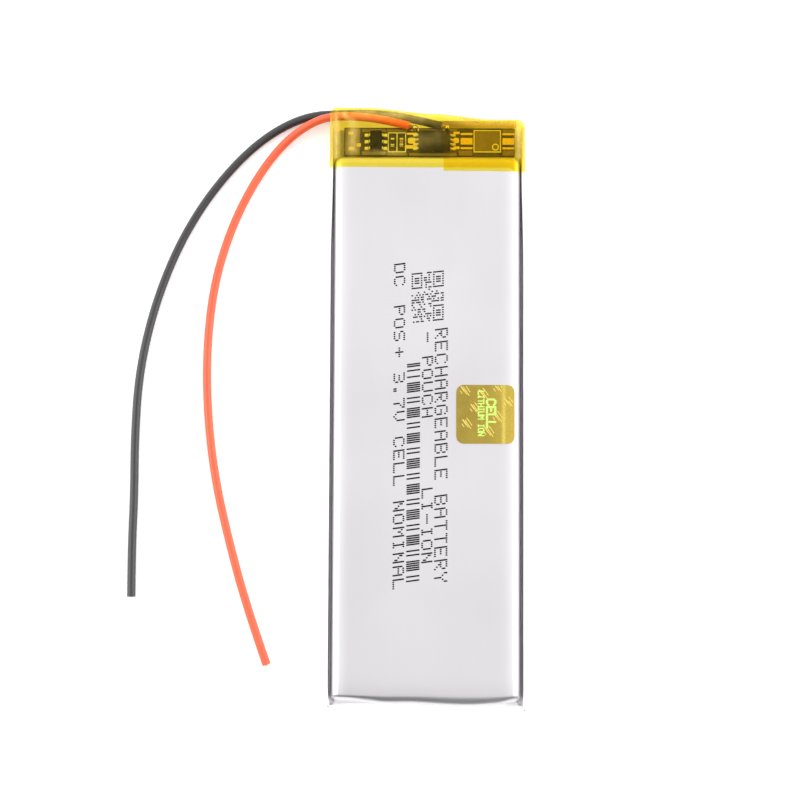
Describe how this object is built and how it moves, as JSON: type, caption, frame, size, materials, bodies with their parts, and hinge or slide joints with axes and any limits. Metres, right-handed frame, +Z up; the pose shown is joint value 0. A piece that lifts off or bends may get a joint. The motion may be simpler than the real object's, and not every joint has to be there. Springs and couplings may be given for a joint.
{
  "type": "pouch battery cell",
  "caption": "Flat lithium pouch cell with folded side seams, an amber-taped protection board at its head and red and black bare-ended leads.",
  "frame": {"origin": "under the middle of the cell, leads left out, on the surface it lies on", "axes": "+X across the cell, +Y along it towards the taped header, +Z up through its thickness, out of the printed front"},
  "size_m": [0.0559, 0.0848, 0.0041],
  "materials": {
    "laminate": "satin nylon-faced aluminium laminate, bright silver-white",
    "graphite_on_copper": "matt graphite coating",
    "oxide_on_aluminium": "matt dark metal-oxide coating",
    "separator_film": "thin white porous film",
    "closing_tape": "thin green polyester tape",
    "nickel": "nickel strip, satin",
    "tab_aluminium": "plain aluminium strip",
    "tab_sealant": "milky heat-seal polymer",
    "insulator_film": "thin clear polyester film",
    "foam": "white double-sided foam",
    "board_mask": "dark satin solder mask on glass-fibre laminate",
    "gold_land": "thin gold on copper",
    "chip_mould": "matt black moulded body",
    "tinned": "tinned, satin",
    "solder": "bright solder",
    "resistor_ceramic": "glazed dark top",
    "capacitor_ceramic": "tan sintered ceramic",
    "polyimide": "amber see-through polyimide film",
    "gold_label": "gold foil label with a fine shimmering pattern",
    "black_insulation": "satin black flexible insulation",
    "red_insulation": "satin orange-red flexible insulation",
    "copper_strands": "tinned copper strands"
  },
  "bodies": {
    "root": {"pouch_back": "laminate", "pouch_cup": "laminate", "anode_strip": "graphite_on_copper", "cathode_strip": "oxide_on_aluminium", "separator_inner": "separator_film", "separator_outer": "separator_film", "winding_closing_tape": "closing_tape", "anode_tab": "nickel", "cathode_tab": "tab_aluminium", "anode_tab_sealant": "tab_sealant", "cathode_tab_sealant": "tab_sealant", "terrace_insulator": "insulator_film", "board_foam_pad": "foam", "nickel_link_negative": "nickel", "nickel_link_positive": "nickel", "circuit_board": "board_mask", "board_pads": "gold_land", "protection_chip": "chip_mould", "protection_chip_leads": "tinned", "switch_chip": "chip_mould", "switch_chip_leads": "tinned", "filter_resistor": "resistor_ceramic", "filter_capacitor": "capacitor_ceramic", "passive_end_caps": "tinned", "solder_negative": "solder", "solder_positive": "solder", "lead_black": "black_insulation", "lead_black_core": "copper_strands", "lead_red": "red_insulation", "lead_red_core": "copper_strands", "tape_wrap": "polyimide", "tape_overlap": "polyimide", "security_label": "gold_label"}
  },
  "joints": []
}
